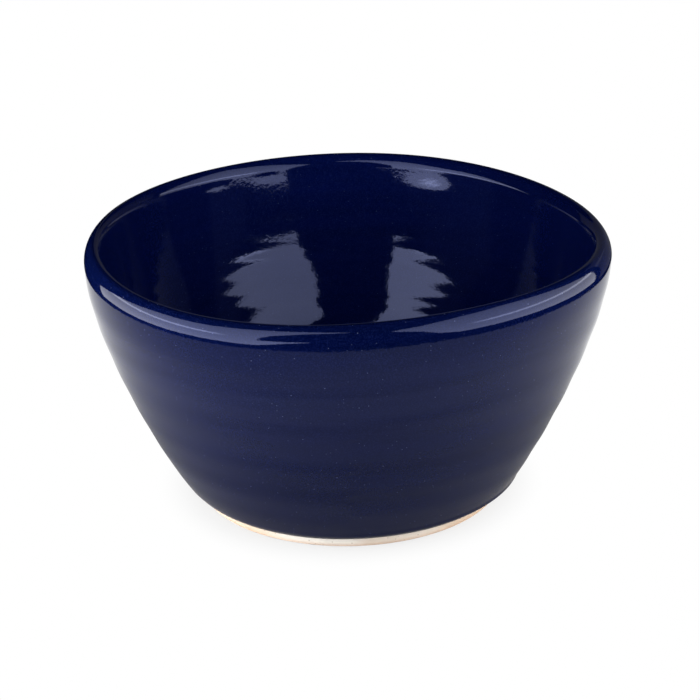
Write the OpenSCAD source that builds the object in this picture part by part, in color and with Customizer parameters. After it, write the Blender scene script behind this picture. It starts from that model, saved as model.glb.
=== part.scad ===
// Hand-thrown prep bowl.
// A stoneware body stands on a turned foot ring and carries two glaze coats: a liner poured
// inside, and an outer coat that stops in a bead above the foot, where the clay stays bare.
// The outline is worked out once, as one line from the glaze bead up the outside, over the lip
// and down the inside to the middle of the floor. The body and both coats share that line.
// +Z is up, and the origin is the middle of the foot's standing face.

/* [Bowl] */
// Width across the lip, over the glaze
rim_d = 115; // [105:0.5:125]
// Height from the table to the top of the lip, over the glaze
bowl_h = 59.6; // [54:0.1:66]
// Clay between the foot's recess and the middle of the floor
floor_t = 5.3; // [3.5:0.1:8]

/* [Foot] */
// Width across the foot where it meets the table, before its edge is rounded
foot_d = 68.8; // [60:0.2:76]
// Height of the foot's upright side
foot_side_h = 2; // [1.2:0.1:4]
// Outward slope of the foot's side, in degrees from upright
foot_side_slope = 17; // [0:1:30]
// Height of the turned bevel between the foot's side and the wall
bevel_h = 2.4; // [1.8:0.1:4]
// Outward slope of the bevel, in degrees from upright
bevel_slope = 48; // [35:1:60]
// Width of the ring that stands on the table
foot_ring_w = 5.5; // [4:0.1:9]
// Rounding of the standing ring's edges
foot_edge_r = 0.45; // [0.2:0.05:0.7]
// Depth of the recess turned into the underside
recess_depth = 1.6; // [1.5:0.1:3]
// Radius where the recess turns down into the ring
recess_corner_r = 0.8; // [0.3:0.05:0.8]

/* [Outside wall] */
// Outward slope where the wall leaves the bevel, in degrees from upright
belly_slope = 34; // [26:1:42]
// How far the wall keeps that slope: the lower handle of its curve
belly_pull = 12; // [6:0.5:16]
// How far the wall stays upright under the lip: the upper handle of its curve
lip_pull = 13.5; // [8:0.5:20]
// Spacing of the low swells that the potter's rib left outside
swell_pitch = 9.5; // [6:0.1:16]
// Depth of those swells
swell_depth = 0.1; // [0:0.01:0.3]

/* [Lip] */
// Rounding of the lip's outer side, in the clay
lip_outer_r = 4.1; // [3:0.1:5]
// Rounding of the lip's crest, in the clay
lip_crest_r = 1.05; // [0.8:0.05:1.4]
// Rounding of the lip's inner side, in the clay
lip_inner_r = 4.5; // [3:0.1:5.5]
// How far the outer side rounds over before the crest takes over, in degrees
lip_outer_turn = 45; // [30:1:60]
// How far past the crest the inner side takes over, in degrees
lip_inner_turn = 54; // [40:1:65]

/* [Inside wall] */
// Slope of the inside just under the lip, in degrees from upright
inside_slope = 9.8; // [5:0.2:14]
// How far the inside keeps that slope: the upper handle of the wall's curve
inside_pull = 16.5; // [8:0.5:20]
// Height at which the inside starts to round into the floor
bend_h = 25; // [22:0.5:29]
// Clay left in the wall at that height, measured level
wall_t = 4; // [3.4:0.1:5.6]
// Slope of the inside at that height, in degrees from upright
bend_slope = 22.5; // [17:0.5:28]
// How far the wall above keeps that slope: the lower handle of its curve
wall_pull = 13; // [6:0.5:15]
// How far the round into the floor keeps it: the upper handle of its curve
bend_pull = 13; // [5:0.5:15]
// How far the floor runs level from the middle: the lower handle of that curve
floor_pull = 33.5; // [22:0.5:36]

/* [Throwing rings] */
// Spacing of the finger rings inside
ring_pitch = 3.9; // [2.5:0.1:7]
// Depth of a finger ring in the clay
ring_depth = 0.08; // [0:0.01:0.3]
// Plain wall between the lip's inner edge and the first ring
ring_start = 2.5; // [0:0.1:8]
// Length over which the rings reach their full depth, and lose it again
ring_fade = 9; // [3:0.5:15]
// Share of a ring's depth that the liner fills as it pools
ring_pool_share = 0.7; // [0:0.05:0.9]

/* [Glaze] */
// Thickness of both coats
glaze_t = 0.4; // [0.25:0.05:0.6]
// Height on the bevel at which the outer coat stops
glaze_line_h = 0.9; // [0.3:0.1:1.1]
// Extra thickness of the bead where the outer coat stops
bead_rise = 0.18; // [0:0.02:0.3]
// Length over which the bead rounds up from the clay
bead_round = 0.6; // [0.3:0.05:0.8]
// Length over which the bead thins out to the plain coat
bead_run = 2.6; // [1:0.1:4]

/* [Hidden] */
$fn = 120;

clay_colour = "#ead9c1";
glaze_colour = "#15195a";

// Steps of the outline: in a quarter turn of an edge, in one ring, in one swell and in a length table
edge_steps = 8;
ring_steps = 6;
swell_steps = 8;
table_steps = 200;

// A unit step in a direction given in degrees from upright, outwards positive
function slope_dir(slope) = [sin(slope), cos(slope)];

// A point on the cubic from a to d that leaves towards b and arrives from c
function cubic(q, t) =
    pow(1 - t, 3) * q[0] + 3 * t * pow(1 - t, 2) * q[1] + 3 * pow(t, 2) * (1 - t) * q[2] + pow(t, 3) * q[3];

// The cubic's direction there, of length 1
function cubic_dir(q, t) =
    let (v = pow(1 - t, 2) * (q[1] - q[0]) + 2 * t * (1 - t) * (q[2] - q[1]) + pow(t, 2) * (q[3] - q[2]))
    v / norm(v);

// Pairs of the length travelled along the cubic and its t there
function length_table(q) =
    [for (i = 0, s = 0; i <= table_steps; i = i + 1, s = s + norm(cubic(q, i / table_steps)
        - cubic(q, (i - 1) / table_steps))) [s, i / table_steps]];

// The whole length of the cubic
function cubic_length(q) = length_table(q)[table_steps][0];

// Points on an arc about c from one angle to another, the first one left out
function arc(c, r, from, to) =
    let (n = max(1, ceil(abs(to - from) / 90 * edge_steps)))
    [for (i = [1:n]) let (a = from + (to - from) * i / n) c + r * [cos(a), sin(a)]];

// A soft step from 0 to 1 as u goes from 0 to 1
function ease(u) = (1 - cos(180 * max(0, min(1, u)))) / 2;

// Depth of a groove after s of a line, by its spacing and full depth
function groove(s, pitch, depth) = depth * (1 - cos(360 * s / pitch)) / 2;

// Evenly spaced points along a cubic, each pushed into the clay on its left by the grooves of a
// wall that this cubic is a part of, with a length of wall before it and one after it. Grooves
// start after a plain length and fade in and out; each point keeps its depth as a third number
function grooved(q, pitch, depth, steps, plain, fade, before, after) =
    let (
        table = length_table(q),
        whole = table[table_steps][0],
        n = ceil(whole / pitch * steps)
    )
    [for (i = [1:n])
        let (
            s = whole * i / n,
            t = i == n ? 1 : lookup(s, table),
            run = before + s - plain,
            left = whole - s + after,
            g = groove(max(0, run), pitch, depth) * ease(run / fade) * ease(left / fade),
            v = cubic_dir(q, t),
            p = cubic(q, t) + g * [-v[1], v[0]]
        )
        [p[0], p[1], g]];

// Driving points of the clay's outline
clay_top = bowl_h - glaze_t;
clay_rim_r = rim_d / 2 - glaze_t;
foot_r = foot_d / 2;
recess_r = foot_r - foot_ring_w;
foot_side_run = foot_side_h * tan(foot_side_slope);
side_top = [foot_r + foot_side_run, foot_side_h];
bevel_dir = slope_dir(bevel_slope);
glaze_line = side_top + glaze_line_h / cos(bevel_slope) * bevel_dir;
bevel_left = (bevel_h - glaze_line_h) / cos(bevel_slope);
bevel_top = glaze_line + bevel_left * bevel_dir;
floor_middle = [0, recess_depth + floor_t];

// The lip is three rounds that run into each other: a broad outer side, a tight crest and a broad
// inner side that ends at the inside wall's slope
crest_centre = [
    clay_rim_r - lip_outer_r * (1 - cos(lip_outer_turn)) - lip_crest_r * cos(lip_outer_turn),
    clay_top - lip_crest_r
];
outer_centre = crest_centre - (lip_outer_r - lip_crest_r) * [cos(lip_outer_turn), sin(lip_outer_turn)];
inner_centre = crest_centre + (lip_inner_r - lip_crest_r) * [sin(lip_inner_turn), -cos(lip_inner_turn)];
lip_side = [clay_rim_r, outer_centre[1]];
inside_top = inner_centre + lip_inner_r * [-cos(inside_slope), sin(inside_slope)];

// The two walls' curves, and the curve that rounds the inside into the floor
outside_curve = [
    bevel_top,
    bevel_top + belly_pull * slope_dir(belly_slope),
    lip_side - [0, lip_pull],
    lip_side
];
outside_wall = grooved(outside_curve, swell_pitch, swell_depth, swell_steps, 0, swell_pitch, 0, 0);
bend = [lookup(bend_h, [for (p = outside_wall) [p[1], p[0]]]) - wall_t, bend_h];
inside_curve = [
    inside_top,
    inside_top - inside_pull * slope_dir(inside_slope),
    bend + wall_pull * slope_dir(bend_slope),
    bend
];
floor_curve = [
    bend,
    bend - bend_pull * slope_dir(bend_slope),
    floor_middle + [floor_pull, 0],
    floor_middle
];

// Underside and foot: from the middle of the recess out to the glaze line
edge_in = foot_edge_r * (1 - sin(foot_side_slope)) / cos(foot_side_slope);
under_line = concat(
    [[0, recess_depth], [recess_r - recess_corner_r, recess_depth]],
    arc([recess_r - recess_corner_r, recess_depth - recess_corner_r], recess_corner_r, 90, 0),
    [[recess_r, foot_edge_r]],
    arc([recess_r + foot_edge_r, foot_edge_r], foot_edge_r, 180, 270),
    [[foot_r - edge_in, 0]],
    arc([foot_r - edge_in, foot_edge_r], foot_edge_r, -90, -foot_side_slope),
    [side_top]
);

// Glazed line: the bevel, in short steps under the bead, then the outside wall and the lip
bead_steps = [for (i = [0:edge_steps]) bead_round * (1 - cos(90 * i / edge_steps))];
bevel_steps = [for (i = [1:edge_steps]) bead_round + (bevel_left - bead_round) * i / edge_steps];
outside_line = concat(
    [for (s = concat(bead_steps, bevel_steps)) concat(glaze_line + s * bevel_dir, 0)],
    outside_wall,
    [for (p = arc(outer_centre, lip_outer_r, 0, lip_outer_turn)) concat(p, 0)],
    [for (p = arc(crest_centre, lip_crest_r, lip_outer_turn, 90)) concat(p, 0)]
);

// From the crest down the inside to the middle of the floor
inside_line = concat(
    [for (p = arc(crest_centre, lip_crest_r, 90, 90 + lip_inner_turn)) concat(p, 0)],
    [for (p = arc(inner_centre, lip_inner_r, 90 + lip_inner_turn, 180 - inside_slope)) concat(p, 0)],
    grooved(inside_curve, ring_pitch, ring_depth, ring_steps, ring_start, ring_fade,
        0, cubic_length(floor_curve)),
    grooved(floor_curve, ring_pitch, ring_depth, ring_steps, ring_start, ring_fade,
        cubic_length(inside_curve), 0)
);
glazed_line = concat(outside_line, inside_line);
crest = len(outside_line) - 1;
last = len(glazed_line) - 1;

function on_line(i) = [glazed_line[i][0], glazed_line[i][1]];

// Direction away from the clay at a point of the glazed line; straight up in the middle of the floor
function outward(i) =
    i == last ? [0, 1] :
    let (v = on_line(i + 1) - on_line(max(0, i - 1)))
    [v[1], -v[0]] / norm(v);

// Thickness of the coat at a distance s above the glaze line
function coat_t(s) =
    s < bead_round
        ? (glaze_t + bead_rise) * sqrt(max(0, 1 - pow(1 - s / bead_round, 2)))
        : glaze_t + bead_rise * (1 - ease((s - bead_round) / bead_run));

// The coat's own surface over a point of the glazed line
function coat_point(i) =
    i == last
        ? on_line(i) + [0, glaze_t]
        : on_line(i) + outward(i)
            * (coat_t(norm(on_line(i) - on_line(0)))
                + (i > crest ? ring_pool_share * glazed_line[i][2] : 0));

// Thrown and turned stoneware body, with its foot ring, lip and finger rings
module clay_body() {
    color(clay_colour)
        rotate_extrude()
            polygon(concat(under_line, [for (i = [0:last]) on_line(i)]));
}

// Liner: the coat poured inside, from the lip's crest to the middle of the floor
module liner_glaze() {
    color(glaze_colour)
        rotate_extrude()
            polygon(concat(
                [for (i = [crest:last]) on_line(i)],
                [for (i = [last:-1:crest]) coat_point(i)]
            ));
}

// Outer coat: dipped, from the bead above the foot to the lip's crest
module outer_glaze() {
    color(glaze_colour)
        rotate_extrude()
            polygon(concat(
                [for (i = [crest:-1:0]) on_line(i)],
                [for (i = [1:crest]) coat_point(i)]
            ));
}

clay_body();
liner_glaze();
outer_glaze();
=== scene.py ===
import math

import bmesh
import bpy
from mathutils import Matrix, Vector, noise


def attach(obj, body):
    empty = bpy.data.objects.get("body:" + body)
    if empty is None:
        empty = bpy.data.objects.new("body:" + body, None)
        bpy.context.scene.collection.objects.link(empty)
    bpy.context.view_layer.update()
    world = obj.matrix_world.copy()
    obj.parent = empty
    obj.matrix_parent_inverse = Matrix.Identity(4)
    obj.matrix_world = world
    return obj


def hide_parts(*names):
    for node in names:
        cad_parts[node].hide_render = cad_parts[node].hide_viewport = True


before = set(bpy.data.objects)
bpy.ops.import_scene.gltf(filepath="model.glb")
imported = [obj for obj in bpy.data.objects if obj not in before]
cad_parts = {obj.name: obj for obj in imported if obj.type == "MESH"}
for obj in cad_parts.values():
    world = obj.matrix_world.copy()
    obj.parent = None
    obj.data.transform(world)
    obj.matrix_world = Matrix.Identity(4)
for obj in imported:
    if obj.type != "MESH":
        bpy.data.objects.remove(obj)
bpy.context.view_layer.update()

# The body: pale stoneware thrown on the wheel, then turned upside down to trim the foot ring,
# the bevel above it and the shallow recess underneath. It is one solid of clay, with the rings of
# the potter's fingers left inside and the low swells of the rib outside.
mm = 0.001
turn_steps = 288

# Sizes in mm, slopes in degrees from upright, turns in degrees round the lip's section, and pulls
# as how far in mm a curve is drawn along its slope
foot_r, foot_side_h, foot_side_slope = 34.4, 2.4, 17
foot_ring_w, foot_edge_r = 5.5, 0.45
recess_depth, recess_corner_r, floor_t = 1.6, 0.8, 5.3
bevel_h, bevel_slope, glaze_line_h = 2.0, 51.8, 0.9
rim_r, bowl_h, glaze_t = 57.5, 59.6, 0.4
lip_outer_r, lip_crest_r, lip_inner_r = 4.1, 1.05, 4.5
lip_outer_turn, lip_inner_turn = 45, 54
belly_slope, belly_pull, lip_pull = 34, 12.0, 13.5
inside_slope, inside_pull = 9.8, 18.5
bend_h, wall_t, bend_slope = 25.0, 3.75, 22.8
wall_pull, bend_pull, floor_pull = 11.5, 13.0, 33.5

# How finely the section is drawn: steps along its curves in mm, steps round its arcs, how closely
# points bunch at the glaze line, and the gap beside the crest's own point in degrees
outside_step, inside_step, floor_step = 0.6, 0.45, 0.8
outer_arc_steps, crest_out_steps, crest_in_steps, inner_arc_steps = 14, 10, 12, 10
bevel_steps, bevel_bunching = 20, 1.6
crest_gap = 0.4
curve_samples = 2000


def toward(slope):
    """A step of length 1 in the wall's section, at a slope from upright."""
    return Vector((math.sin(math.radians(slope)), math.cos(math.radians(slope))))


def arc(centre, radius, start, end, steps):
    """Points round part of a circle in the section, its start left out."""
    turns = [math.radians(start + (end - start) * i / steps) for i in range(1, steps + 1)]
    return [centre + radius * Vector((math.cos(a), math.sin(a))) for a in turns]


def pulled(a, b, c, d, step):
    """The wall's curve from a to d, pulled towards b and c on its way, in even steps."""
    fine = [(1 - t) ** 3 * a + 3 * t * (1 - t) ** 2 * b + 3 * t * t * (1 - t) * c + t ** 3 * d
            for t in (i / curve_samples for i in range(curve_samples + 1))]
    run = [0.0]
    for p, q in zip(fine, fine[1:]):
        run.append(run[-1] + (q - p).length)
    count = round(run[-1] / step)
    line, at = [], 0
    for i in range(1, count + 1):
        while run[at] < run[-1] * i / count - 1e-9:
            at += 1
        line.append(fine[at])
    return line


clay_top, clay_rim_r = bowl_h - glaze_t, rim_r - glaze_t
side_top = Vector((foot_r + foot_side_h * math.tan(math.radians(foot_side_slope)), foot_side_h))
bevel_run = toward(bevel_slope) / math.cos(math.radians(bevel_slope))
glaze_line = side_top + bevel_run * glaze_line_h
bevel_top = side_top + bevel_run * bevel_h
outer_way, inner_way = toward(90 - lip_outer_turn), toward(-lip_inner_turn)
crest_r = clay_rim_r - lip_outer_r + (lip_outer_r - lip_crest_r) * outer_way.x
crest_centre = Vector((crest_r, clay_top - lip_crest_r))
outer_centre = crest_centre - (lip_outer_r - lip_crest_r) * outer_way
inner_centre = crest_centre - (lip_inner_r - lip_crest_r) * inner_way
lip_side = outer_centre + Vector((lip_outer_r, 0))
inside_top = inner_centre + lip_inner_r * Vector((-toward(inside_slope).y, toward(inside_slope).x))
floor_middle = Vector((0, recess_depth + floor_t))

# The clay's line from the glaze line up the outside, over the crest and down to the middle. Its
# points lie closest at the glaze line, under the bead, and on both sides of the crest.
outside = [glaze_line + (bevel_top - glaze_line) * (i / bevel_steps) ** bevel_bunching
           for i in range(bevel_steps + 1)]
bevel_points = len(outside)
outside += pulled(bevel_top, bevel_top + belly_pull * toward(belly_slope),
                  lip_side - Vector((0, lip_pull)), lip_side, outside_step)
outside += arc(outer_centre, lip_outer_r, 0, lip_outer_turn, outer_arc_steps)
outside += arc(crest_centre, lip_crest_r, lip_outer_turn, 90 - crest_gap, crest_out_steps)
outside += [crest_centre + Vector((0, lip_crest_r))]
below_bend = max((p for p in outside if p.y <= bend_h), key=lambda p: p.y)
bend = Vector((below_bend.x - wall_t, bend_h))
inside = [outside[-1]] + arc(crest_centre, lip_crest_r, 90, 90 + crest_gap, 1)
inside += arc(crest_centre, lip_crest_r, 90 + crest_gap, 90 + lip_inner_turn, crest_in_steps)
inside += arc(inner_centre, lip_inner_r, 90 + lip_inner_turn, 180 - inside_slope, inner_arc_steps)
lip_points = len(inside)
inside += pulled(inside_top, inside_top - inside_pull * toward(inside_slope),
                 bend + wall_pull * toward(bend_slope), bend, inside_step)
inside += pulled(bend, bend - bend_pull * toward(bend_slope),
                 floor_middle + Vector((floor_pull, 0)), floor_middle, floor_step)


def with_run(line, start, share):
    """Gives each point of a line its length from a start, the way out of the clay there, and
    the share of the rings (above 0) or of the swells (below 0) that it takes."""
    runs = [0.0]
    for p, q in zip(line, line[1:]):
        runs.append(runs[-1] + (q - p).length)
    points = []
    for i, p in enumerate(line):
        along = line[min(i + 1, len(line) - 1)] - line[max(i - 1, 0)]
        out = Vector((along.y, -along.x)).normalized()
        if abs(p.y - clay_top) < 1e-4 or p.x < 1e-6:
            out = Vector((0, 1))
        points.append((p, runs[i] - runs[start], out, share))
    return points


outside_wall = with_run(outside, bevel_points - 1, -1)
inside_wall = with_run(inside, lip_points - 1, 1)
inside_len = inside_wall[-1][1]
outside_len = next(run for p, run, _, _ in outside_wall if p.y >= lip_side.y - 1e-6)

# The swells and the rings both climb the wall as a spiral, and their swing and wander are in
# pitches. The wander changes over patches, about 15 round the bowl and each patch_h mm high, and
# how hard the fingers pressed changes over finer ones.
swell_pitch, swell_depth, swell_start, swell_swing = 9.5, 0.1, 0.5, 0.12
ring_pitch, ring_depth, ring_start, ring_fade = 3.9, 0.08, 2.5, 9.0
ring_swing, ring_wander, ring_sharpness = 0.10, 0.45, 1.6
patches_r, patch_h = 2.4, 8
press_finer, press_swing, press_least = 1.6, 1.2, 0.15
# Low lumps that a fingertip left inside, each: turn in degrees, height, push inwards, half-width
# round the wall and half-width up it, in mm
lumps = [(66, 51.5, 0.31, 7.2, 3.5), (110, 56.0, 0.045, 3.2, 1.0), (126, 55.8, 0.045, 3.4, 0.8)]


def ease(u):
    """A smooth rise from 0 to 1 while u goes from 0 to 1."""
    return (1 - math.cos(math.pi * min(1, max(0, u)))) / 2


def ring(run, turn):
    """How deep the potter's fingers pressed the inside at a length down from the lip, in mm."""
    place = Vector((patches_r * math.cos(turn), patches_r * math.sin(turn), run / patch_h))
    wander = ring_swing * math.sin(turn + 0.6) + ring_wander * noise.noise(place)
    across = math.cos(math.pi * (run / ring_pitch + turn / math.tau + wander))
    groove = 1 - abs(across) ** ring_sharpness
    press = 1 + press_swing * noise.noise(press_finer * place + Vector((0, 0, 7)))
    fade = ease((run - ring_start) / (2 * ring_fade)) * ease((inside_len - run) / ring_fade)
    return ring_depth * groove * max(press_least, press) * fade


def lump(z, turn):
    """How far the lumps stand into the bowl at a height and turn, in mm."""
    total = 0
    for at, height, push, round_half, up_half in lumps:
        off = (math.degrees(turn) - at + 180) % 360 - 180
        total += push * math.exp(-(math.radians(off) * rim_r / round_half) ** 2
                                 - ((z - height) / up_half) ** 2)
    return total


def swell(run, turn):
    """How deep the rib pressed the outside at a height up the wall, in mm."""
    u = run / swell_pitch + turn / math.tau + swell_start + swell_swing * math.sin(2 * turn + 1)
    fade = ease(run / swell_pitch) * ease((outside_len - run) / swell_pitch)
    return swell_depth * (1 - math.cos(math.tau * u)) / 2 * fade


# How far the lip is out of true after throwing and firing, as waves that go once, twice and three
# times round, in mm: up, outwards, and outwards at its inner edge alone. die_out is the power by
# which they fade downwards, edge_blend the width over which the inner edge's own waves come in, and
# middle_r the radius inside which the outward ones fade towards the axis.
lip_lift = [(-0.11, -0.01), (-0.28, -0.33), (-0.40, -0.05)]
lip_spread = [(0.10, 0.01), (-0.05, -0.10), (0.29, -0.17)]
edge_spread = [(-0.28, -0.01), (0.13, -0.30), (-0.02, -0.09)]
die_out, edge_blend, middle_r = 1.5, 2, 5


def waves(pairs, turn):
    """The sum of some waves round the bowl, each given as its cosine and sine parts."""
    return sum(c * math.cos((k + 1) * turn) + s * math.sin((k + 1) * turn)
               for k, (c, s) in enumerate(pairs))


def out_of_true(r, z, share, turn):
    """Where a point of a true bowl ends up, in mm: the lip wanders most and the foot not at all."""
    up = max(0, z / bowl_h) ** die_out
    edge = min(1, (crest_r - r) / edge_blend) * up if share > 0 and r < crest_r else 0
    spread = up * waves(lip_spread, turn) + edge * waves(edge_spread, turn)
    return r + spread * min(1, r / middle_r), z + up * waves(lip_lift, turn)


merge_dist, sharp_angle = 0.002 * mm, math.radians(35)


def placed(name, bm):
    """Puts a finished shape in the scene, as an object with a mesh of the same name."""
    mesh = bpy.data.meshes.new(name)
    bm.to_mesh(mesh)
    bm.free()
    piece = bpy.data.objects.new(name, mesh)
    bpy.context.scene.collection.objects.link(piece)
    return piece


def spun(name, section, closed):
    """Turns a section round the axis, then lets the rings, the swells and the wandering lip in. A
    closed section is joined from its last point to its first."""
    bm = bmesh.new()
    run_of = bm.verts.layers.float.new("run")
    share_of = bm.verts.layers.float.new("share")
    out_of = bm.verts.layers.float_vector.new("out")
    verts = []
    for p, run, out, share in section:
        v = bm.verts.new((p.x * mm, 0, p.y * mm))
        v[run_of], v[share_of], v[out_of] = run, share, Vector((out.x, 0, out.y))
        verts.append(v)
    edges = [bm.edges.new(pair) for pair in zip(verts, verts[1:])]
    if closed:
        edges.append(bm.edges.new((verts[-1], verts[0])))
    bmesh.ops.spin(bm, geom=verts + edges, cent=(0, 0, 0), axis=(0, 0, 1), dvec=(0, 0, 0),
                   angle=math.tau / 4, steps=turn_steps // 4, use_merge=False, use_duplicate=False)
    quarter = bm.verts[:] + bm.edges[:] + bm.faces[:]
    for k in (1, 2, 3):
        copy = bmesh.ops.duplicate(bm, geom=quarter)["geom"]
        bmesh.ops.rotate(bm, verts=[g for g in copy if isinstance(g, bmesh.types.BMVert)],
                         cent=(0, 0, 0), matrix=Matrix.Rotation(k * math.tau / 4, 3, "Z"))
    bmesh.ops.remove_doubles(bm, verts=bm.verts, dist=merge_dist)
    for v in bm.verts:
        r, z, turn = math.hypot(v.co.x, v.co.y) / mm, v.co.z / mm, math.atan2(v.co.y, v.co.x)
        share, run, out = v[share_of], v[run_of], v[out_of]
        depth = share * ring(run, turn) - lump(z, turn) if share > 0 else -share * swell(run, turn)
        way = math.hypot(out.x, out.y) * (1 if out.x * v.co.x + out.y * v.co.y > 0 else -1)
        r, z = out_of_true(r - way * depth, z - out.z * depth, share, turn)
        v.co = Vector((r * math.cos(turn), r * math.sin(turn), z)) * mm
    bmesh.ops.recalc_face_normals(bm, faces=bm.faces)
    piece = placed(name, bm)
    for layer in ("run", "share", "out"):
        piece.data.attributes.remove(piece.data.attributes[layer])
    piece.data.shade_smooth()
    piece.data.set_sharp_from_angle(angle=sharp_angle)
    return piece


# The underside, from the middle out: scrape marks of the turning tool, the recess's corner, the
# foot ring with both its edges rounded, its outer side, and the bare part of the bevel. The two
# points beside the side's top keep that edge crisp.
recess_r = foot_r - foot_ring_w
level_r = recess_r - recess_corner_r
edge_in = foot_edge_r * (1 - toward(foot_side_slope).x) / toward(foot_side_slope).y
tool_pitch, tool_depth, tool_start = 2.3, 0.07, 3
recess_steps, corner_steps = 70, 6
crisp_below, crisp_above, bevel_between = 0.12, 0.15, 0.6
under = []
for i in range(recess_steps):
    x = level_r * i / recess_steps
    scrape = tool_depth * (1 - math.cos(math.tau * x / tool_pitch)) / 2 * ease(x / tool_start)
    under.append(Vector((x, recess_depth + scrape)))
under += [Vector((level_r, recess_depth))]
under += arc(Vector((level_r, recess_depth - recess_corner_r)), recess_corner_r, 90, 0, corner_steps)
under += arc(Vector((recess_r + foot_edge_r, foot_edge_r)), foot_edge_r, 180, 270, corner_steps)
under += [Vector((foot_r - edge_in, 0))]
under += arc(Vector((foot_r - edge_in, foot_edge_r)), foot_edge_r, -90, -foot_side_slope, corner_steps)
under += [side_top - crisp_below * toward(foot_side_slope), side_top,
          side_top.lerp(glaze_line, crisp_above), side_top.lerp(glaze_line, bevel_between)]

# Under the glaze, every second point of the walls is enough
body_section = [(p, 0, Vector((0, 0)), 0) for p in under]
body_section += outside_wall[:bevel_points] + outside_wall[bevel_points::2] + inside_wall[2::2]
if body_section[-1] is not inside_wall[-1]:
    body_section.append(inside_wall[-1])
body = spun("stoneware_body", body_section, False)


def linear(hex_colour):
    """An sRGB hex colour turned to the linear values that Blender's sockets take."""
    parts = [int(hex_colour[i:i + 2], 16) / 255 for i in (1, 3, 5)]
    return [c / 12.92 if c <= 0.04045 else ((c + 0.055) / 1.055) ** 2.4 for c in parts] + [1.0]


def add(tree, kind, inputs={}, **settings):
    """Adds a node with its settings. An input takes a value, or another node's output."""
    node = tree.nodes.new(kind)
    for key, value in settings.items():
        setattr(node, key, value)
    for key, value in inputs.items():
        if isinstance(value, bpy.types.NodeSocket):
            tree.links.new(value, node.inputs[key])
        else:
            node.inputs[key].default_value = value
    return node


def empty_tree(owner):
    """The node tree of a material or the world, with nothing in it."""
    owner.use_nodes = True
    owner.node_tree.nodes.clear()
    return owner.node_tree


# Fired stoneware: dry and matt, cream in front and peach towards both sides, left and right, with
# a little wander. It has fine lines from the turning tool, a few dark grains, a painted shade of tan
# at the bottom where it stands, and a thin rusty line that the glaze drew out of the clay just under
# its edge. That line follows the glaze, which climbs line_tilt mm at line_tilt_r mm to the right.
line_tilt, line_tilt_r = 0.6, 35.0
peach_per_m, tool_line_w, peach_w, grain_apart = 8.0, 0.55, 38, 1.3
rust_from, rust_to, foot_shade_h, groove_depth = 0.55, 0.05, 1.3, 0.05
clay = bpy.data.materials.new("fired_stoneware")
tree = empty_tree(clay)
place = add(tree, "ShaderNodeTexCoord").outputs["Object"]
axes = add(tree, "ShaderNodeSeparateXYZ", {0: place})
flat = add(tree, "ShaderNodeVectorMath", {0: place, 1: (1, 1, 0)}, operation="MULTIPLY")
radius = add(tree, "ShaderNodeVectorMath", {0: flat.outputs[0]}, operation="LENGTH").outputs["Value"]
radial = add(tree, "ShaderNodeCombineXYZ", {0: radius})
turned = add(tree, "ShaderNodeVectorMath", {0: place, 1: (0.03, 0.03, 1), 2: radial.outputs[0]},
             operation="MULTIPLY_ADD").outputs[0]
tool_lines = add(tree, "ShaderNodeTexNoise", {"Vector": turned, "Scale": 1 / (tool_line_w * mm),
                                              "Detail": 2.0})
# Peach towards both sides: its share grows with the distance left or right of the middle, with a little
# noise
peach_noise = add(tree, "ShaderNodeTexNoise", {"Vector": place, "Scale": 1 / (peach_w * mm), "Detail": 2.0})
aside = add(tree, "ShaderNodeMath", {0: axes.outputs["X"]}, operation="ABSOLUTE")
peach_side = add(tree, "ShaderNodeMath", {0: aside.outputs[0], 1: peach_per_m, 2: peach_noise.outputs[0]},
                 operation="MULTIPLY_ADD")
peach_share = add(tree, "ShaderNodeMapRange", {0: peach_side.outputs[0], 1: 0.5, 2: 0.78},
                  interpolation_type="SMOOTHSTEP")
grains = add(tree, "ShaderNodeTexVoronoi", {"Vector": place, "Scale": 1 / (grain_apart * mm)})
grain_share = add(tree, "ShaderNodeMapRange", {0: grains.outputs["Distance"], 1: 0.16, 2: 0.08, 4: 0.45})
cream = add(tree, "ShaderNodeMix", {0: peach_share.outputs[0], 6: linear("#f9f4ec"), 7: linear("#e6cfb8")},
            data_type="RGBA")
lined = add(tree, "ShaderNodeMix", {0: tool_lines.outputs[0], 6: linear("#efe8de"), 7: (1, 1, 1, 1)},
            data_type="RGBA")
scored = add(tree, "ShaderNodeMix", {0: 0.35, 6: cream.outputs[2], 7: lined.outputs[2]},
             data_type="RGBA", blend_type="MULTIPLY")
grained = add(tree, "ShaderNodeMix", {0: grain_share.outputs[0], 6: scored.outputs[2],
                                      7: linear("#8d6f55")}, data_type="RGBA")
along_line = add(tree, "ShaderNodeMath", {0: axes.outputs["X"], 1: -line_tilt / line_tilt_r,
                                          2: axes.outputs["Z"]}, operation="MULTIPLY_ADD")
rust_share = add(tree, "ShaderNodeMapRange", {0: along_line.outputs[0], 1: (glaze_line.y - rust_from) * mm,
                                              2: (glaze_line.y - rust_to) * mm, 4: 0.75},
                 interpolation_type="SMOOTHSTEP")
rusted = add(tree, "ShaderNodeMix", {0: rust_share.outputs[0], 6: grained.outputs[2],
                                     7: linear("#8a5a3c")}, data_type="RGBA")
# Painted shade: the clay goes tan towards the bottom, where it stands
foot_shade_share = add(tree, "ShaderNodeMapRange", {0: axes.outputs["Z"], 1: foot_shade_h * mm, 2: 0.0, 4: 0.6},
                interpolation_type="SMOOTHSTEP")
foot_shaded = add(tree, "ShaderNodeMix", {0: foot_shade_share.outputs[0], 6: rusted.outputs[2],
                                     7: linear("#cfa27c")}, data_type="RGBA")
grooves = add(tree, "ShaderNodeBump", {"Height": tool_lines.outputs[0], "Distance": groove_depth * mm})
shader = add(tree, "ShaderNodeBsdfPrincipled", {"Base Color": foot_shaded.outputs[2], "IOR": 1.5,
                                                "Roughness": 0.75, "Normal": grooves.outputs[0]})
add(tree, "ShaderNodeOutputMaterial", {"Surface": shader.outputs[0]})
body.data.materials.append(clay)
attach(body, "root")
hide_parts("clay_body")

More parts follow.
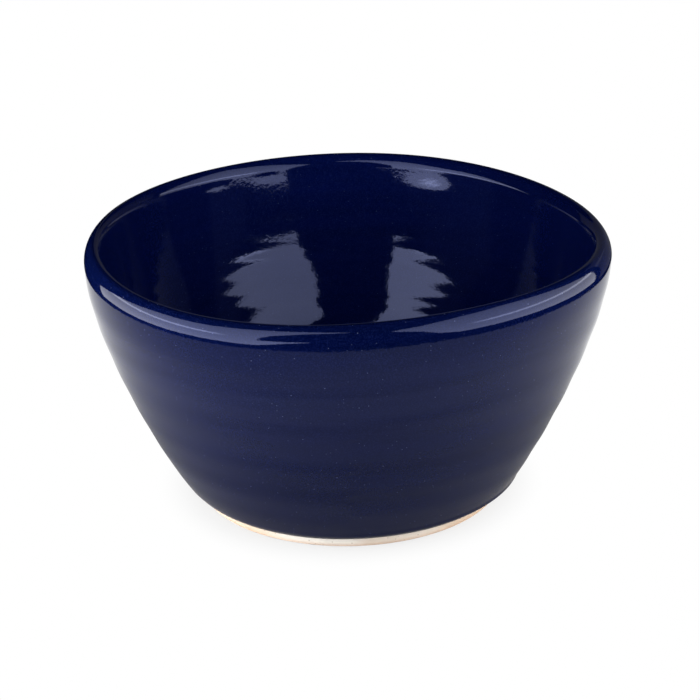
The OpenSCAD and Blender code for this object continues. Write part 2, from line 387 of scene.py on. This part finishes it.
# The liner: the coat of glaze that was poured in, swirled and poured out again. It reaches from
# the crest of the lip to the middle of the floor, and pools a little in the finger rings, so its
# own face is nearly even.
sunk = 0.06
pool_share = 0.8


def coat(wall, thick, face_share):
    """Section of a coat: out along its face, and back just inside the clay, where every third
    point is enough."""
    face = [(p + out * thick(run), run, out, share * face_share) for p, run, out, share in wall]
    kept = wall[::3] if wall[::3][-1] is wall[-1] else wall[::3] + wall[-1:]
    return face + [(p - out * sunk, run, out, share) for p, run, out, share in kept][::-1]


# A known fault: its face and its back don't meet at the crest. The outer coat's edge lies against
# the open ring.
liner = spun("liner_glaze_coat", coat(inside_wall, lambda run: glaze_t, 1 - pool_share), False)


# Sizes of the glaze's patterns in mm: its rounds and the wider ones of its haze, the pools, the
# orange skin, the way between pinholes and the grain, then how deep the skin and the pools are,
# and the heights between which the haze fades out under the lip
round_h, haze_h, pool_w, skin_w, pinhole_apart, grain_w = 2.6, 6, 14, 0.8, 0.95, 0.3
skin_depth, pool_depth = 0.009, 0.02
haze_end, lip_start = 50, 54


def cobalt_glaze(name, thin, thick_blue, rich, haze, bands, specks):
    """Gloss cobalt glaze: glass over a near-black blue, with the faint skin of an orange, level
    rounds of thicker and thinner glaze, a fine blue grain, and pinholes that healed to pale dots.
    Its blue goes from thin to thick_blue in the pools, and to rich in the rounds, which stand out
    by bands mm. Up to a share of haze, wider rounds go grey and milky, but not on the lip, where
    the glaze ran thin. Specks is how pale the dots are. Grain and dots are drawn 0.2 to 0.3 mm
    wide, coarser than they are, or they wouldn't show."""
    glaze = bpy.data.materials.new(name)
    tree = empty_tree(glaze)
    place = add(tree, "ShaderNodeTexCoord").outputs["Object"]
    laid = add(tree, "ShaderNodeMapping", {"Vector": place, "Rotation": (0.05, 0.03, 0),
                                           "Scale": (0.06, 0.06, 1)}).outputs[0]
    rounds = add(tree, "ShaderNodeTexNoise", {"Vector": laid, "Scale": 1 / (round_h * mm), "Detail": 2.0})
    pools = add(tree, "ShaderNodeTexNoise", {"Vector": place, "Scale": 1 / (pool_w * mm), "Detail": 2.0})
    peel = add(tree, "ShaderNodeTexNoise", {"Vector": place, "Scale": 1 / (skin_w * mm), "Detail": 2.0})
    dots = add(tree, "ShaderNodeTexVoronoi", {"Vector": place, "Scale": 1 / (pinhole_apart * mm)})
    dot = add(tree, "ShaderNodeMapRange", {0: dots.outputs["Distance"], 1: 0.13, 2: 0.05})
    pick = add(tree, "ShaderNodeSeparateColor", {0: dots.outputs["Color"]})
    chosen = add(tree, "ShaderNodeMapRange", {0: pick.outputs[0], 1: 0.55, 2: 1.0, 4: specks})
    dotted = add(tree, "ShaderNodeMath", {0: dot.outputs[0], 1: chosen.outputs[0]}, operation="MULTIPLY")
    blue = add(tree, "ShaderNodeMix", {0: pools.outputs[0], 6: linear(thin), 7: linear(thick_blue)},
               data_type="RGBA")
    banded = add(tree, "ShaderNodeMix", {0: rounds.outputs[0], 6: blue.outputs[2], 7: linear(rich)},
                 data_type="RGBA")
    grain = add(tree, "ShaderNodeTexNoise", {"Vector": place, "Scale": 1 / (grain_w * mm), "Detail": 1.0})
    wide = add(tree, "ShaderNodeTexNoise", {"Vector": laid, "Scale": 1 / (haze_h * mm), "Detail": 3.0})
    height = add(tree, "ShaderNodeSeparateXYZ", {0: place}).outputs["Z"]
    under_lip = add(tree, "ShaderNodeMapRange", {0: height, 1: haze_end * mm, 2: lip_start * mm,
                                                 3: haze, 4: 0.0}, interpolation_type="SMOOTHSTEP")
    veil = add(tree, "ShaderNodeMapRange", {0: wide.outputs[0], 1: 0.38, 2: 0.62, 4: under_lip.outputs[0]},
               interpolation_type="SMOOTHSTEP")
    veiled = add(tree, "ShaderNodeMix", {0: veil.outputs[0], 6: banded.outputs[2], 7: linear("#2b3050")},
                 data_type="RGBA")
    grain_share = add(tree, "ShaderNodeMapRange", {0: grain.outputs[0], 1: 0.45, 2: 0.8, 4: 0.3})
    grained = add(tree, "ShaderNodeMix", {0: grain_share.outputs[0], 6: veiled.outputs[2],
                                          7: linear("#1b2455")}, data_type="RGBA")
    spotted = add(tree, "ShaderNodeMix", {0: dotted.outputs[0], 6: grained.outputs[2],
                                          7: linear("#727ca6")}, data_type="RGBA")
    skin = add(tree, "ShaderNodeBump", {"Height": peel.outputs[0], "Distance": skin_depth * mm})
    low = add(tree, "ShaderNodeBump", {"Height": pools.outputs[0], "Distance": pool_depth * mm,
                                       "Normal": skin.outputs[0]})
    thick = add(tree, "ShaderNodeBump", {"Height": rounds.outputs[0], "Distance": bands * mm,
                                         "Normal": low.outputs[0]})
    gloss = add(tree, "ShaderNodeMapRange", {0: pools.outputs[0], 3: 0.03, 4: 0.07})
    shader = add(tree, "ShaderNodeBsdfPrincipled", {
        "Base Color": spotted.outputs[2], "IOR": 1.5, "Roughness": gloss.outputs[0],
        "Specular IOR Level": 0.27, "Specular Tint": linear("#bac6ff"), "Normal": thick.outputs[0]})
    add(tree, "ShaderNodeOutputMaterial", {"Surface": shader.outputs[0]})
    return glaze


# Poured: it lies even and clear, and its pinholes are fainter. Its blues are a little lighter than the
# dipped coat's: painted light that lifts the shade inside the bowl.
liner.data.materials.append(cobalt_glaze(
    "poured_cobalt_glaze_painted_lighter", thin="#000420", thick_blue="#00062e", rich="#010733",
    haze=0.0, bands=0.0, specks=0.25))
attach(liner, "root")
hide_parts("liner_glaze")

# The outer coat: the same glaze, taken on by dipping the bowl upside down. It stops on the bevel
# in a rounded bead, because the foot was wiped clean to keep it from sticking to the kiln shelf.
# The wiped line climbs to the right, and wavers a little all the way round.
bead_rise, bead_round, bead_run = 0.18, 0.6, 2.6
line_run = outside_wall[0][1]
line_fade = 9.0
waver_wide, waver_narrow = 0.07, 0.04


def outer_thick(run):
    """Thickness of the coat at a length up from the wiped line."""
    s = run - line_run
    if s < bead_round:
        return (glaze_t + bead_rise) * math.sqrt(max(0, 1 - (1 - s / bead_round) ** 2))
    return glaze_t + bead_rise * (1 - ease((s - bead_round) / bead_run))


def clay_r(z):
    """Radius of the clay's outside at a height."""
    a, b = next((a, b) for a, b in zip(outside, outside[1:]) if z <= b.y)
    return a.x + (b.x - a.x) * (z - a.y) / (b.y - a.y)


outer = spun("outer_glaze_coat", coat(outside_wall, outer_thick, 1), True)
for v in outer.data.vertices:
    r, z, turn = math.hypot(v.co.x, v.co.y), v.co.z / mm, math.atan2(v.co.y, v.co.x)
    if z < glaze_line.y + line_fade:
        waver = waver_wide * math.sin(3 * turn + 1) + waver_narrow * math.sin(8 * turn)
        climb = (line_tilt * math.cos(turn) + waver) * (1 - ease((z - glaze_line.y) / line_fade))
        out = clay_r(z + climb) - clay_r(z)
        v.co += Vector((out * v.co.x / r, out * v.co.y / r, climb)) * mm
# Dipped: it lies in level rounds, thick enough for haze, and its pinholes are plainer
outer.data.materials.append(cobalt_glaze(
    "dipped_cobalt_glaze", thin="#00041a", thick_blue="#000526", rich="#01062b",
    haze=0.12, bands=0.02, specks=0.5))
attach(outer, "root")
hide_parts("outer_glaze")

# The table: a wide white board. Near the foot it shows its mid-grey paint, which takes the bowl's
# soft shadow and adds a painted shade round the foot, and it is plain white further out. A hole that
# the foot hides lets light reach the underside, and the board can't be seen from below.
table_r, hole_r, round_steps = 3.0, 34.0 * mm, 96
shadow_r, plain_r = 0.010, 0.045
dim_mirror_r, white_mirror_r = 0.048, 0.108
bm = bmesh.new()
bmesh.ops.create_circle(bm, segments=round_steps, radius=hole_r)
grown = bmesh.ops.extrude_edge_only(bm, edges=bm.edges[:])["geom"]
bmesh.ops.scale(bm, verts=[g for g in grown if isinstance(g, bmesh.types.BMVert)],
                vec=(table_r / hole_r, table_r / hole_r, 1))
bmesh.ops.recalc_face_normals(bm, faces=bm.faces)
if bm.faces[:][0].normal.z < 0:
    bmesh.ops.reverse_faces(bm, faces=bm.faces)
table = placed("table", bm)


def seen_by(tree):
    """Two nodes' outputs: 1 where the camera looks at a thing straight, and 1 where it sees it
    mirrored or through glass."""
    path = add(tree, "ShaderNodeLightPath")
    mirrored = add(tree, "ShaderNodeMath", {0: path.outputs["Is Glossy Ray"],
                                            1: path.outputs["Is Transmission Ray"]}, operation="MAXIMUM")
    return path.outputs["Is Camera Ray"], mirrored.outputs[0]


# The board's mid-grey matt paint takes the real shadow near the foot and shows only there, so it
# is also a painted shade round the foot, to the eye and in the glaze. It goes over to plain white
# from shadow_r to plain_r to the eye, and from dim_mirror_r to white_mirror_r as the glaze mirrors it.
board = bpy.data.materials.new("white_board")
tree = empty_tree(board)
place = add(tree, "ShaderNodeTexCoord").outputs["Object"]
radius = add(tree, "ShaderNodeVectorMath", {0: place}, operation="LENGTH").outputs["Value"]
far = add(tree, "ShaderNodeMapRange", {0: radius, 1: shadow_r, 2: plain_r}, interpolation_type="SMOOTHSTEP")
far_off = add(tree, "ShaderNodeMapRange", {0: radius, 1: dim_mirror_r, 2: white_mirror_r},
              interpolation_type="SMOOTHSTEP")
straight, mirrored = seen_by(tree)
in_glaze = add(tree, "ShaderNodeMath", {0: far_off.outputs[0], 1: mirrored}, operation="MULTIPLY")
plain = add(tree, "ShaderNodeMath", {0: far.outputs[0], 1: straight, 2: in_glaze.outputs[0]},
            operation="MULTIPLY_ADD")
# Painted shade: this mid-grey paint shows only near the foot, where the white doesn't cover it
paint = add(tree, "ShaderNodeBsdfDiffuse", {"Color": linear("#9a9a9a")})
white = add(tree, "ShaderNodeEmission", {"Strength": 1.0})
top = add(tree, "ShaderNodeMixShader", {0: plain.outputs[0], 1: paint.outputs[0], 2: white.outputs[0]})
below = add(tree, "ShaderNodeNewGeometry").outputs["Backfacing"]
unseen = add(tree, "ShaderNodeMath", {0: below, 1: straight}, operation="MULTIPLY")
clear = add(tree, "ShaderNodeBsdfTransparent")
both = add(tree, "ShaderNodeMixShader", {0: unseen.outputs[0], 1: top.outputs[0], 2: clear.outputs[0]})
add(tree, "ShaderNodeOutputMaterial", {"Surface": both.outputs[0]})
table.data.materials.append(board)

# The lights: two curved white diffusers, left and right of the bowl and lit from behind by long
# tubes, with a gap between them in front. Each is a cloth cut to its own outline, given as the
# angle from the front in degrees, the height of its lower edge and of its upper edge there in mm.
# Its glow is brightest low down, and most of all in a band along the tube. The band fades in from
# tube_from to tube_to mm aside of the middle, and the cloth gets dimmer from front to back.
wall_r, cloth_steps = 200.0, 112
glow_h, glow_low, glow_high = 300, 1.3, 0.5
tube_h, tube_spread, tube_glow = 88.0, 13.0, 2.6
tube_from, tube_to = 132, 160
front_y, back_y, back_share = -100, 80, 0.4


def diffuser(name, side, outline, level):
    """A lit cloth on one side, -1 or 1, cut to an outline. Level is how bright it is in front."""
    bm = bmesh.new()
    first, last = outline[0][0], outline[-1][0]
    foot = bm.verts.new((0, -wall_r * mm, 0))
    head = bm.verts.new((0, -wall_r * mm, 1 * mm))
    edge = bm.edges.new((foot, head))
    turn_to = Matrix.Rotation(math.radians(side * first), 3, "Z")
    bmesh.ops.rotate(bm, verts=[foot, head], cent=(0, 0, 0), matrix=turn_to)
    bmesh.ops.spin(bm, geom=[foot, head, edge], cent=(0, 0, 0), axis=(0, 0, 1), dvec=(0, 0, 0),
                   angle=math.radians(side * (last - first)), steps=cloth_steps, use_merge=False,
                   use_duplicate=False)
    for v in bm.verts:
        az = side * math.degrees(math.atan2(v.co.x, -v.co.y))
        a, b = next((a, b) for a, b in zip(outline, outline[1:]) if az <= b[0] + 1e-3)
        share = (az - a[0]) / (b[0] - a[0])
        low, high = (a[i] + (b[i] - a[i]) * share for i in (1, 2))
        v.co.z = (high if v.co.z > 0 else low) * mm
    cloth = placed(name, bm)
    glow = bpy.data.materials.new("lit_" + name)
    tree = empty_tree(glow)
    place = add(tree, "ShaderNodeTexCoord").outputs["Object"]
    axes = add(tree, "ShaderNodeSeparateXYZ", {0: place})
    height = axes.outputs["Z"]
    fall = add(tree, "ShaderNodeMapRange", {0: height, 1: 0.0, 2: glow_h * mm, 3: glow_low, 4: glow_high})
    off_tube = add(tree, "ShaderNodeMath", {0: height, 1: tube_h * mm}, operation="SUBTRACT")
    away = add(tree, "ShaderNodeMath", {0: off_tube.outputs[0]}, operation="ABSOLUTE")
    tube = add(tree, "ShaderNodeMapRange", {0: away.outputs[0], 1: 0.0, 2: tube_spread * mm,
                                            3: tube_glow, 4: 1.0}, interpolation_type="SMOOTHERSTEP")
    aside = add(tree, "ShaderNodeMath", {0: axes.outputs["X"]}, operation="ABSOLUTE")
    tube_end = add(tree, "ShaderNodeMapRange", {0: aside.outputs[0], 1: tube_from * mm, 2: tube_to * mm},
                   interpolation_type="SMOOTHSTEP")
    glow_share = add(tree, "ShaderNodeMix", {0: tube_end.outputs[0], 2: 1.0, 3: tube.outputs[0]})
    behind = add(tree, "ShaderNodeMapRange", {0: axes.outputs["Y"], 1: front_y * mm, 2: back_y * mm,
                                              3: level, 4: back_share * level},
                 interpolation_type="SMOOTHSTEP")
    even = add(tree, "ShaderNodeMath", {0: fall.outputs[0], 1: behind.outputs[0]}, operation="MULTIPLY")
    lit = add(tree, "ShaderNodeMath", {0: even.outputs[0], 1: glow_share.outputs[0]}, operation="MULTIPLY")
    light = add(tree, "ShaderNodeEmission", {"Strength": lit.outputs[0]})
    add(tree, "ShaderNodeOutputMaterial", {"Surface": light.outputs[0]})
    cloth.data.materials.append(glow)
    cloth.visible_camera = False


diffuser("left_diffuser", -1, [(0, 205, 210), (10, 200, 232), (18, 190, 250), (24, 163, 252),
                               (29, 130, 252), (31.5, 95, 252), (32, 45, 252), (33, 4, 252),
                               (38, 0, 250), (50, 0, 215), (60, 0, 182), (80, 0, 155),
                               (92, 2, 115), (112, 8, 57)], 6.0)
# A flap of cloth that hangs under the left diffuser's front end
diffuser("left_flap", -1, [(13, 58, 60), (20, 44, 62), (26, 22, 63), (31, 6, 64), (33, 4, 64)], 6.0)
diffuser("right_diffuser", 1, [(16, 150, 156), (19, 135, 166), (22, 118, 172), (25, 102, 178),
                               (28, 76, 185), (32, 46, 196), (40, 18, 218), (52, 14, 240),
                               (76, 12, 244), (85, 12, 200), (95, 12, 150), (112, 12, 90)], 4.6)
# A dim card behind the bowl
diffuser("rear_card", 1, [(118, 0, 140), (205, 0, 140)], 0.2)

# The dark of the room: a black cloth round the set, which the camera doesn't see. It lies on the
# table round the lit part, so that the glaze mirrors the board near the bowl and black beyond.
lit_r, room_r, room_h, felt_t = 0.162, 0.75, 0.8, 0.0006
bm = bmesh.new()
line = [bm.verts.new(p) for p in ((lit_r, 0, felt_t), (room_r, 0, felt_t), (room_r, 0, room_h),
                                  (0, 0, room_h))]
edges = [bm.edges.new(pair) for pair in zip(line, line[1:])]
bmesh.ops.spin(bm, geom=line + edges, cent=(0, 0, 0), axis=(0, 0, 1), dvec=(0, 0, 0),
               angle=math.tau, steps=round_steps, use_merge=True, use_duplicate=False)
bmesh.ops.remove_doubles(bm, verts=bm.verts, dist=1e-6)
drape = placed("black_cloth", bm)
felt = bpy.data.materials.new("black_felt")
tree = empty_tree(felt)
dark = add(tree, "ShaderNodeBsdfDiffuse", {"Color": (0.002, 0.002, 0.002, 1)})
add(tree, "ShaderNodeOutputMaterial", {"Surface": dark.outputs[0]})
drape.data.materials.append(felt)
drape.visible_camera = False

# A lamp under the table, which lights only what its hole leaves open: the turned underside
lamp_w, lamp_watts, lamp_drop = 0.12, 0.15, 0.12
lamp = bpy.data.lights.new("underside_lamp", "AREA")
lamp.shape, lamp.size, lamp.energy = "DISK", lamp_w, lamp_watts
under_lamp = bpy.data.objects.new("underside_lamp", lamp)
under_lamp.location = (0, 0, -lamp_drop)
under_lamp.rotation_euler = (math.pi, 0, 0)
under_lamp.visible_camera = False
bpy.context.scene.collection.objects.link(under_lamp)

# The backdrop is plain white where it is seen or mirrored, and lights nothing
world = bpy.data.worlds.new("white_room")
bpy.context.scene.world = world
tree = empty_tree(world)
straight, mirrored = seen_by(tree)
seen = add(tree, "ShaderNodeMath", {0: straight, 1: mirrored}, operation="MAXIMUM")
sky = add(tree, "ShaderNodeBackground", {"Strength": seen.outputs[0], "Color": (1, 1, 1, 1)})
add(tree, "ShaderNodeOutputWorld", {"Surface": sky.outputs[0]})

# The camera: a long lens from in front, looking down at the bowl. It aims at the axis at aim_h,
# and the lens is given by its focal length in pixels of a picture 700 pixels wide.
elevation, roll, distance, aim_h = math.radians(23.01), math.radians(-1.26), 0.46, 0.030
picture_px, focal_px, shift_x_px, shift_y_px, sensor_mm = 700, 2051, 1.6, 5.2, 36
camera = bpy.data.objects.new("camera", bpy.data.cameras.new("camera"))
bpy.context.scene.collection.objects.link(camera)
camera.data.sensor_width = sensor_mm
camera.data.lens = sensor_mm * focal_px / picture_px
camera.data.shift_x, camera.data.shift_y = shift_x_px / picture_px, shift_y_px / picture_px
camera.matrix_world = (
    Matrix.Translation((0, -distance * math.cos(elevation), aim_h + distance * math.sin(elevation)))
    @ Matrix.Rotation(math.pi / 2 - elevation, 4, "X") @ Matrix.Rotation(roll, 4, "Z"))
bpy.context.scene.camera = camera
bpy.context.scene.view_settings.view_transform = "Standard"
